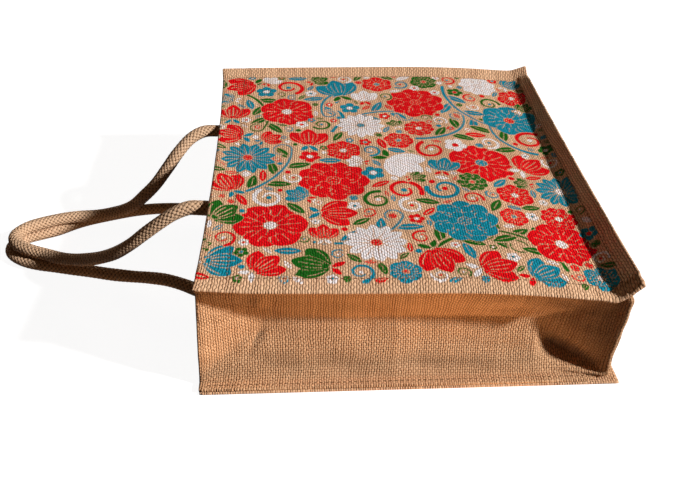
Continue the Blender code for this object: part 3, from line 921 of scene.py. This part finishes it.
# Stems: a curve from a root, with leaves on both sides and a curl at its end
Stem = namedtuple("Stem", "ink along across turn length bend leaves leaf_ink")
STEMS = (
    Stem("blue", 20.0, 130.0, 20.0, 150.0, 95.0, 6, "green"),
    Stem("blue", 95.0, 60.0, -15.0, 130.0, 110.0, 5, "blue"),
    Stem("green", 30.0, 330.0, -40.0, 120.0, -100.0, 6, "green"),
    Stem("blue", 120.0, 250.0, 70.0, 140.0, -120.0, 5, "blue"),
    Stem("green", 190.0, 45.0, 60.0, 130.0, -130.0, 6, "green"),
    Stem("blue", 205.0, 235.0, -10.0, 120.0, 140.0, 5, "green"),
    Stem("blue", 250.0, 350.0, -100.0, 130.0, 90.0, 5, "blue"),
    Stem("green", 300.0, 30.0, 100.0, 120.0, 110.0, 5, "green"),
    Stem("blue", 150.0, 345.0, 190.0, 110.0, 130.0, 4, "blue"),
    Stem("blue", 325.0, 215.0, 170.0, 100.0, -120.0, 4, "green"),
)
CURL_TURN = 250.0
CURL_SHARE = 0.30
STEM_STEPS = 60
STEM_THICK = 4.0
LEAF_LENGTH = 26.0
LEAF_WIDTH = 0.36
LEAF_LEAN = 0.85

for stem in STEMS:
    place = np.array([stem.along, stem.across])
    heading = math.radians(stem.turn)
    step = stem.length / STEM_STEPS
    points = []
    for index in range(STEM_STEPS):
        points.append(place)
        share = index / STEM_STEPS
        turning = math.radians(stem.bend) / STEM_STEPS
        if share > 1.0 - CURL_SHARE:
            turning += math.copysign(math.radians(CURL_TURN), stem.bend) / STEM_STEPS / CURL_SHARE
        heading += turning
        place = place + step * np.array([math.cos(heading), math.sin(heading)])
        spacing = STEM_STEPS * (1.0 - CURL_SHARE) / stem.leaves
        if index % spacing < 1.0 and 0 < index < STEM_STEPS * (1.0 - CURL_SHARE):
            side = 1 if int(index / spacing) % 2 else -1
            shape = petal(LEAF_LENGTH, LEAF_LENGTH * LEAF_WIDTH, 1.0, 1)
            stamp(stem.leaf_ink, *place, heading + side * LEAF_LEAN, LEAF_LENGTH, shape)
    shape = trail([point - points[0] for point in points], STEM_THICK)
    stamp(stem.ink, *points[0], 0.0, stem.length, shape)

# The large flowers
Bloom = namedtuple("Bloom", "kind ink eye along across radius turn")
BLOOMS = (
    Bloom(bloom, "red", "white", 58.0, 84.0, 33.0, 10.0),
    Bloom(daisy, "white", "red", 146.0, 60.0, 27.0, 5.0),
    Bloom(rosette, "blue", "blue", 226.0, 92.0, 31.0, 30.0),
    Bloom(bloom, "red", "white", 306.0, 66.0, 30.0, 50.0),
    Bloom(daisy, "blue", "red", 34.0, 196.0, 29.0, 15.0),
    Bloom(rosette, "red", "red", 116.0, 158.0, 34.0, 20.0),
    Bloom(tulip, "white", "green", 186.0, 186.0, 22.0, -40.0),
    Bloom(bloom, "red", "blue", 262.0, 190.0, 33.0, 35.0),
    Bloom(daisy, "blue", "white", 329.0, 148.0, 24.0, 0.0),
    Bloom(bloom, "red", "white", 74.0, 292.0, 30.0, 40.0),
    Bloom(daisy, "white", "blue", 150.0, 262.0, 25.0, 0.0),
    Bloom(rosette, "red", "red", 214.0, 312.0, 32.0, 0.0),
    Bloom(bloom, "blue", "red", 312.0, 282.0, 31.0, 20.0),
    Bloom(tulip, "red", "green", 22.0, 352.0, 20.0, 200.0),
    Bloom(tulip, "blue", "green", 130.0, 346.0, 21.0, 100.0),
    Bloom(rosette, "white", "white", 292.0, 356.0, 22.0, 0.0),
    Bloom(tulip, "red", "green", 196.0, 36.0, 18.0, -70.0),
)
for row in BLOOMS:
    row.kind(row.ink, row.eye, row.along, row.across, row.radius, math.radians(row.turn))

# Small shapes fill the widest bare place that is left, again and again
Filler = namedtuple("Filler", "least most kinds")
FILLERS = (
    Filler(13.0, 18.0, (bloom, rosette, tulip, scroll)),
    Filler(8.0, 12.0, (scroll, tulip, floret, scroll)),
    Filler(5.0, 7.5, (floret, leaf, scroll, leaf)),
    Filler(3.2, 4.6, (leaf, floret, leaf, dot)),
    Filler(2.6, 3.2, (dot, leaf)),
)
MOST_FILLERS = 420
FILLER_PAST = 3.0
FLICKER = 1.5
INK_FAR = 40.0
INK_LUCK = 8.0
LEAF_TURNS = 12
LEAF_TEST = 1.6
LEAF_GROWTH = 1.5
INK_DEPTH = 3.0

draws = random.Random(PRINT_SEED)
flicker = np.array([[draws.random() for column in print_across] for row in print_along])
for count in range(MOST_FILLERS):
    taken = np.max(list(ink_fields.values()), 0)
    room = np.minimum(-taken, print_room + FILLER_PAST)
    spot = np.unravel_index(np.argmax(room + flicker * FLICKER), room.shape)
    radius = room[spot] - PRINT_GAP
    if radius < FILLERS[-1].least:
        break
    filler = next(filler for filler in FILLERS if radius >= filler.least)
    kind = draws.choice(filler.kinds)
    wish = {
        ink: min(-field[spot], INK_FAR) * INK_SHARES[ink] + draws.uniform(0.0, INK_LUCK)
        for ink, field in ink_fields.items()
    }
    ink = max(wish, key=wish.get)
    eye = draws.choice([other for other in ("white", "red", "blue") if other != ink])
    turn = draws.uniform(0.0, 2 * math.pi)
    radius = min(radius, filler.most)
    if kind in (leaf, tulip):
        rooms = {}
        for index in range(LEAF_TURNS):
            angle = math.pi * index / LEAF_TURNS
            reach = radius * LEAF_TEST / FRONT_GRID
            step = np.array([reach * math.cos(angle), reach * math.sin(angle)])
            ends = np.clip([spot - step, spot + step], 0, np.array(room.shape) - 1).astype(int)
            rooms[angle] = min(room[tuple(end)] for end in ends)
        turn = max(rooms, key=rooms.get)
        if kind is leaf:
            radius *= LEAF_GROWTH
    kind(ink, eye, print_along[spot[0]], print_across[spot[1]], radius, turn)

for field in ink_fields.values():
    np.minimum(field, print_room, out=field)
    np.clip(field, -INK_DEPTH, INK_DEPTH, out=field)

# Colours of the gaps between the yarns (painted shade), then the yarns' dark and light tones.
front_cloth = jute_finish(
    "front_cloth_jute",
    (0.15, 0.062, 0.026, 1.0),
    (0.48, 0.25, 0.13, 1.0),
    (0.93, 0.60, 0.37, 1.0),
    ribbed=1.0,
    inks=INKS.items(),
)
near_end_roll = LIP_ROLL * ease((front_along - LIP_ROLL_START) / LIP_ROLL_REACH)
near_end_roll = near_end_roll * (1.0 - ease(front_across / FLANGE))
front_panel = cloth_shell(
    "front_cloth_sheet",
    front_face,
    np.stack([front_along, front_across], -1),
    panel_thickness(front_along, front_inset) + near_end_roll,
    front_cloth,
    every=10,
    numbers=ink_fields.items(),
)
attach(front_panel, "root")
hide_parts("front_panel")

# Stitches of the front panel: dark jute thread in short even stitches along its three seams and its
# hem, pulled down into the cloth. One stitch is modelled and copied.
STITCH_LENGTH = 3.4
STITCH_WIDTH = 0.9
STITCH_PITCH = 5.0
STITCH_PARTS = (0.2, 0.5, 0.8)
STITCH_SEGMENTS = 6
STITCH_RINGS = 4
FRONT_RUN_STEPS = 300
THREAD = {"Base Color": (0.17, 0.085, 0.04, 1.0), "Roughness": 0.9, "Specular IOR Level": 0.1}
# The two ends of each line of stitches, along and across the flat cloth
FRONT_STITCHES = (
    ((6.0, 12.6), (346.0, 12.6)),
    ((6.0, 375.6), (343.0, 375.6)),
    ((343.0, 14.0), (343.0, 374.0)),
    ((HEM_DEPTH, 16.0), (HEM_DEPTH, 372.0)),
)

bpy.ops.mesh.primitive_uv_sphere_add(segments=STITCH_SEGMENTS, ring_count=STITCH_RINGS, radius=0.5 * MM)
stitch = bpy.context.object
stitch.name = "stitch"
stitch.rotation_euler = (0.0, math.pi / 2, 0.0)
bpy.ops.object.transform_apply(location=False, rotation=True, scale=False)
stitch.scale = (STITCH_LENGTH, STITCH_WIDTH, STITCH_WIDTH)
bpy.ops.object.transform_apply(location=False, rotation=False, scale=True)
bpy.ops.object.shade_smooth()
stitch.data.materials.append(new_material("stitch_thread", THREAD)[0])
stitch.select_set(False)


def grid_place(face, first, second):
    """The point of a grid of points at two places counted in its lines."""
    row = min(int(first), face.shape[0] - 2)
    line = min(int(second), face.shape[1] - 2)
    low = blend(face[row, line], face[row, line + 1], second - line)
    high = blend(face[row + 1, line], face[row + 1, line + 1], second - line)
    return blend(low, high, first - row)


def sew(name, face, runs):
    """Stitches joined in one piece, along runs of places counted in a grid's lines."""
    square = slopes(face)[2]
    made = []
    for run in runs:
        points = np.array([grid_place(face, *place) for place in run])
        steps = np.linalg.norm(np.diff(points, axis=0), axis=1)
        lengths = np.concatenate([[0.0], np.cumsum(steps)])
        count = int(lengths[-1] / STITCH_PITCH)
        for number in range(count):
            before, middle, after = (
                [np.interp((number + part) * STITCH_PITCH, lengths, run[:, axis]) for axis in (0, 1)]
                for part in STITCH_PARTS
            )
            ahead = unit(grid_place(face, *after) - grid_place(face, *before))
            upward = unit(grid_place(square, *middle))
            aside = unit(np.cross(upward, ahead))
            turned = Matrix(np.stack([ahead, aside, np.cross(ahead, aside)], 1).tolist()).to_4x4()
            copy = bpy.data.objects.new(name, stitch.data.copy())
            bpy.context.scene.collection.objects.link(copy)
            copy.data.transform(Matrix.Translation(placed(grid_place(face, *middle))) @ turned)
            made.append(copy)
    for copy in made:
        copy.select_set(True)
    bpy.context.view_layer.objects.active = made[0]
    bpy.ops.object.join()
    made[0].name = name
    made[0].select_set(False)
    return made[0]


def front_line(place):
    """A place on the front panel's flat cloth, counted in the lines of its grid."""
    along, across = place
    return (
        (along - front_along[0, 0]) / (front_along[1, 0] - front_along[0, 0]),
        (across - front_across[0, 0]) / (front_across[0, 1] - front_across[0, 0]),
    )


front_stitches = sew(
    "front_stitches",
    front_face,
    [np.linspace(front_line(start), front_line(end), FRONT_RUN_STEPS) for start, end in FRONT_STITCHES],
)
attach(front_stitches, "root")

# Back panel: the same cloth without a print, flat on the ground, with its base seam standing out
# past the gusset.
BACK_MOUTH = -4.0
BACK_BASE = 362.0
BACK_NEAR = 5.0
BACK_FAR = 384.0
BASE_FLANGE = 15.0
BACK_GRID = 2.4

back_along = even_places(BACK_MOUTH + HEMMED / 2, BACK_BASE - TURNED / 2, BACK_GRID)[:, None]
back_across = even_places(BACK_NEAR + TURNED / 2, BACK_FAR - TURNED / 2, BACK_GRID)[None, :]
back_along, back_across = np.broadcast_arrays(back_along, back_across)
back_inset = np.minimum(back_across - BACK_NEAR, BACK_FAR - back_across)
back_inset = np.minimum(back_inset, BACK_BASE - BASE_FLANGE + FLANGE - back_along)
back_thick = panel_thickness(back_along - BACK_MOUTH, back_inset)
back_face = np.stack([back_along, back_across, back_thick], -1)
# Colours of the gaps between the yarns (painted shade), then the yarns' dark and light tones.
back_cloth = jute_finish(
    "back_cloth_jute",
    (0.14, 0.056, 0.023, 1.0),
    (0.46, 0.23, 0.115, 1.0),
    (0.90, 0.57, 0.34, 1.0),
)
back_panel = cloth_shell(
    "back_cloth_sheet",
    back_face,
    np.stack([back_along, back_across], -1),
    back_thick,
    back_cloth,
    every=4,
)
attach(back_panel, "root")
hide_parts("back_panel")

# Gusset: one long strip of the same cloth that makes the near side, the base and the far side. Its
# edges are sewn out to the panels' edges, and it is pushed in along the middle of each side.
NEAR_END = 338.0
BASE_START = 344.0
BASE_END = 694.0
FAR_START = 700.0
STRIP_LENGTH = 1038.0
STRIP_WIDTH = 145.0
CORNER_RADIUS = 4.0
CORNER_STATIONS = ((NEAR_END + BASE_START) / 2, (BASE_END + FAR_START) / 2)
CORNER_FLANGE = 6.0
CORNER_GAP = 2.2
CORNER_REACH = 16.0
CORNER_SPAN = 12.0
CORNER_STEP = 1.0
TIP_SPAN = 3.0
TIP_STEP = 0.3
CORNER_CLEAR = 12.5
SEWN_GAP = 0.3
SEWN_GAP_ABOVE = 0.5
BROW = 0.88
FOLD_REACH = 1.2
CORNER_FOLD_REACH = 0.25
FLANGE_SHORT = 1.0
STATION_STEP = 2.6
WALL_ROWS = 81
FLANGE_ROWS = 6
DENT_FADE = 0.08
GUSSET_RUMPLE = 48.0
GUSSET_RUMPLE_SEED = 8
GUSSET_RUMPLE_DEPTH = 0.7

SeamPath = namedtuple("SeamPath", "mouth base near far")
BACK_SEAM = SeamPath(BACK_MOUTH, BACK_BASE - BASE_FLANGE, BACK_NEAR + FLANGE, BACK_FAR - FLANGE)
FRONT_SEAM = SeamPath(0.0, FRONT_LENGTH - FLANGE, FLANGE, PANEL_WIDTH - FLANGE)
Section = namedtuple(
    "Section",
    "station foot_at foot_in pocket_at pocket_in ridge_at ridge_in valley_at valley_in brow_in",
)
# How far up the strip's wall each of its folds is, and how far in, at stations along the strip
GUSSET_SECTIONS = (
    Section(0.0, 0.02, 0.0, 0.05, 0.0, 0.50, -1.5, 0.86, 0.0, 0.0),
    Section(51.0, 0.09, 5.8, 0.45, 17.4, 0.48, 18.1, 0.51, 18.5, 3.2),
    Section(160.0, 0.09, 5.8, 0.33, 14.4, 0.48, 18.2, 0.51, 18.7, 3.0),
    Section(284.0, 0.09, 5.8, 0.33, 14.4, 0.48, 18.2, 0.51, 18.7, 3.0),
    Section(292.0, 0.08, 6.4, 0.26, 18.0, 0.42, 15.8, 0.56, 17.0, 3.0),
    Section(300.0, 0.06, 4.4, 0.20, 20.0, 0.40, 12.0, 0.62, 14.0, 3.0),
    Section(309.0, 0.05, 2.2, 0.15, 19.0, 0.38, 8.2, 0.68, 10.6, 3.0),
    Section(318.0, 0.03, -1.0, 0.12, 15.5, 0.35, 4.6, 0.72, 7.0, 2.4),
    Section(327.0, 0.02, -4.5, 0.10, 10.0, 0.32, 1.0, 0.74, 3.4, 1.2),
    Section(338.0, 0.02, -8.5, 0.08, 0.0, 0.30, -2.8, 0.74, -2.4, -3.0),
    Section(340.4, 0.02, -10.5, 0.08, -10.5, 0.30, -8.8, 0.74, -10.0, -10.0),
    Section(341.4, 0.02, -7.5, 0.08, -7.5, 0.30, -6.0, 0.74, -6.4, -6.4),
    Section(344.0, 0.03, -3.0, 0.10, -3.0, 0.30, -2.5, 0.66, -2.6, -4.0),
    Section(356.0, 0.06, -3.0, 0.16, -2.4, 0.38, -1.6, 0.55, 0.0, -4.0),
    Section(405.0, 0.15, 7.0, 0.34, 16.0, 0.44, 20.6, 0.50, 23.0, 3.8),
    Section(519.0, 0.15, 7.6, 0.34, 17.2, 0.44, 22.4, 0.50, 25.0, 4.0),
    Section(633.0, 0.15, 7.0, 0.34, 16.0, 0.44, 20.6, 0.50, 23.0, 3.8),
    Section(682.0, 0.06, -1.0, 0.16, 0.0, 0.38, 1.0, 0.55, 2.0, -2.0),
    Section(697.0, 0.05, -4.0, 0.14, -5.0, 0.38, -5.6, 0.55, -4.4, -4.0),
    Section(716.0, 0.08, 0.6, 0.18, 2.4, 0.38, 3.0, 0.56, 5.0, -1.0),
    Section(756.0, 0.14, 5.0, 0.32, 11.4, 0.44, 15.6, 0.50, 17.5, 2.8),
    Section(880.0, 0.15, 5.2, 0.33, 11.6, 0.45, 15.8, 0.50, 17.5, 2.8),
    Section(985.0, 0.15, 5.2, 0.42, 14.8, 0.48, 16.8, 0.53, 17.0, 3.0),
    Section(1038.0, 0.02, 0.0, 0.05, 0.0, 0.50, -1.5, 0.86, 0.0, 0.0),
)

# Small dents and bumps of the strip: centre, half sizes, depth pushed in, and lean
Dent = namedtuple("Dent", "station part length width depth lean")
GUSSET_DENTS = (
    Dent(47.0, 0.33, 3.2, 0.085, 2.6, 20.0),
    Dent(50.0, 0.78, 5.0, 0.10, -2.4, 0.0),
    Dent(38.0, 0.72, 6.0, 0.07, 1.6, -60.0),
    Dent(112.0, 0.72, 26.0, 0.10, 1.0, 30.0),
    Dent(150.0, 0.20, 30.0, 0.12, -0.9, -40.0),
    Dent(212.0, 0.30, 22.0, 0.10, 0.9, 20.0),
    Dent(246.0, 0.74, 18.0, 0.09, -1.0, 30.0),
    Dent(20.0, 0.30, 16.0, 0.12, 1.4, -50.0),
    Dent(300.0, 0.78, 9.0, 0.08, 1.5, -40.0),
    Dent(322.0, 0.70, 5.0, 0.10, -1.6, 10.0),
    Dent(440.0, 0.70, 16.0, 0.10, 1.5, 30.0),
    Dent(600.0, 0.26, 20.0, 0.11, 1.5, -30.0),
    Dent(820.0, 0.75, 24.0, 0.10, 1.2, 20.0),
    Dent(990.0, 0.33, 5.0, 0.10, 2.2, -20.0),
)


def seam_place(path, station, outward):
    """Places on a seam path, stepped outward from it into the flange, and the way outward there."""
    radius = CORNER_RADIUS
    first_turn = math.pi / 2 * (station - NEAR_END) / (BASE_START - NEAR_END)
    second_turn = math.pi / 2 * (station - BASE_END) / (FAR_START - BASE_END)
    turn = np.clip(first_turn, 0.0, math.pi / 2) + np.clip(second_turn, 0.0, math.pi / 2)
    way = np.stack([np.sin(turn), -np.cos(turn)], -1)
    ends = (0.0, NEAR_END, BASE_START, BASE_END, FAR_START, STRIP_LENGTH)
    base = path.base - radius
    near = path.near + radius
    far = path.far - radius
    centre = np.stack(
        [
            np.interp(station, ends, (path.mouth, base, base, base, base, path.mouth)),
            np.interp(station, ends, (near, near, near, far, far, far)),
        ],
        -1,
    )
    return centre + way * (radius + outward)[..., None], way


def from_corners(station):
    return np.min([np.abs(station - corner) for corner in CORNER_STATIONS], 0)


def gusset_stations():
    """Places along the strip, close together at its two corners."""
    straight = np.arange(0.0, STRIP_LENGTH + 1.0, STATION_STEP)
    run_up = np.arange(-CORNER_SPAN, -TIP_SPAN, CORNER_STEP)
    run = np.concatenate([run_up, np.arange(-TIP_SPAN, 0.0, TIP_STEP)])
    turns = [corner + np.concatenate([run, -run[::-1]]) for corner in CORNER_STATIONS]
    keep = from_corners(straight) > CORNER_CLEAR
    station = np.sort(np.concatenate([straight[keep], *turns]))
    return TURNED / 2 + station * (STRIP_LENGTH - TURNED) / station[-1]


def wall_depth(station, part):
    """How far the strip is pushed in, for each station and each part of the way up its wall."""
    fold_reach = blend(CORNER_FOLD_REACH, FOLD_REACH, ease(from_corners(station) / CORNER_SPAN))

    def read(name):
        return column(GUSSET_SECTIONS, "station", name, station, fold_reach)

    none = np.zeros(len(station))
    knots = [(none, none)]
    knots += [(read(name + "_at"), read(name + "_in")) for name in ("foot", "pocket", "ridge", "valley")]
    knots += [(none + BROW, read("brow_in")), (none + 1.0, none)]
    depth = np.empty((len(station), len(part)))
    for index in range(len(station)):
        places, pushed = zip(*((at[index], push[index]) for at, push in knots))
        depth[index] = np.interp(part, places, pushed)
    depth[:, 1:-1] = (depth[:, :-2] + depth[:, 1:-1] * 2 + depth[:, 2:]) / 4
    ground = ease(part / DENT_FADE) * ease((1.0 - part) / DENT_FADE)
    for dent in GUSSET_DENTS:
        lean = math.tan(math.radians(dent.lean))
        away = part[None, :] - dent.part
        ahead = station[:, None] - dent.station - away * STRIP_WIDTH * lean
        depth += dent.depth * np.exp(-(ahead / dent.length) ** 2 - (away / dent.width) ** 2) * ground
    up_strip = part[None, :] * STRIP_WIDTH
    waves = rumple(station[:, None], up_strip, GUSSET_RUMPLE, GUSSET_RUMPLE_SEED)
    return depth + waves * GUSSET_RUMPLE_DEPTH * ground


def gusset_face():
    """The strip's middle surface as a grid, its places on the flat strip, and its stations."""
    station = gusset_stations()
    open_run = ease(from_corners(station) / CORNER_REACH)
    reach = blend(CORNER_FLANGE, FLANGE - FLANGE_SHORT, open_run) - TURNED / 2
    sewn = TURNED + SEWN_GAP + TURNED / 2
    sewn_above = TURNED + blend(CORNER_GAP, SEWN_GAP_ABOVE, open_run) + TURNED / 2
    lower = []
    upper = []
    for share in np.linspace(1.0, 0.0, FLANGE_ROWS):
        place, way = seam_place(BACK_SEAM, station, reach * share)
        lower.append(np.column_stack([place, np.full(len(station), sewn)]))
        along, across = seam_place(FRONT_SEAM, station, reach * share)[0].T
        forward = front_place(along + 1.0, across) - front_place(along - 1.0, across)
        sideways = front_place(along, across + 1.0) - front_place(along, across - 1.0)
        down = unit(np.cross(forward, sideways)) * sewn_above[:, None]
        upper.insert(0, front_place(along, across) - down)
    foot = lower[-1]
    head = upper[0]
    part = np.linspace(0.0, 1.0, WALL_ROWS)
    depth = wall_depth(station, part)
    inward = np.column_stack([-way, np.zeros(len(station))])
    rows = lower[:-1]
    for index in range(WALL_ROWS):
        rows.append(foot + (head - foot) * part[index] + inward * depth[:, index, None])
    rows += upper[1:]
    grid = np.stack(rows, 1)
    wall = STRIP_WIDTH - 2 * FLANGE
    flat_rows = np.concatenate(
        [
            np.linspace(0.0, FLANGE, FLANGE_ROWS)[:-1],
            FLANGE + part * wall,
            np.linspace(FLANGE + wall, STRIP_WIDTH, FLANGE_ROWS)[1:],
        ]
    )
    steps = np.linalg.norm(np.diff(grid, axis=0), axis=2)[:, FLANGE_ROWS:-FLANGE_ROWS].mean(1)
    length = station[0] + np.concatenate([[0.0], np.cumsum(steps)])
    flat = np.stack(np.broadcast_arrays(length[:, None], flat_rows[None, :]), -1)
    return grid, flat, station


gusset_middle, gusset_flat, gusset_station = gusset_face()
from_mouth = np.minimum(gusset_station, STRIP_LENGTH - gusset_station)
gusset_hem = 1.0 - ease((from_mouth - HEM_DEPTH) / (2 * HEM_STEP))
gusset_thick = np.repeat(blend(SINGLE, TURNED, gusset_hem)[:, None], gusset_middle.shape[1], 1)
gusset_thick[:, :FLANGE_ROWS - 1] = TURNED
gusset_thick[:, 1 - FLANGE_ROWS:] = TURNED
gusset_outside = gusset_middle + slopes(gusset_middle)[2] * gusset_thick[..., None] / 2
# Colours of the gaps between the yarns (painted shade), then the yarns' dark and light tones. All three
# are darker than the front panel's, a darker copy of the same jute: painted shade for the strip's side
# walls.
gusset_cloth = jute_finish(
    "gusset_cloth_jute",
    (0.13, 0.050, 0.018, 1.0),
    (0.43, 0.21, 0.095, 1.0),
    (0.81, 0.50, 0.285, 1.0),
)
gusset = cloth_shell(
    "gusset_cloth_sheet", gusset_outside, gusset_flat, gusset_thick, gusset_cloth, every=2
)
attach(gusset, "root")
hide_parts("gusset")

# Stitches of the gusset: the same thread along its lower seam, where its edge lies on the back panel.
SEAM_LINE = 2.2
FROM_MOUTH = 2
SEAM_RUN_STEPS = 900

last_station = gusset_outside.shape[0] - 1
gusset_stitches = sew(
    "gusset_stitches",
    gusset_outside,
    [np.linspace((FROM_MOUTH, SEAM_LINE), (last_station - FROM_MOUTH, SEAM_LINE), SEAM_RUN_STEPS)],
)
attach(gusset_stitches, "root")
bpy.data.objects.remove(stitch)
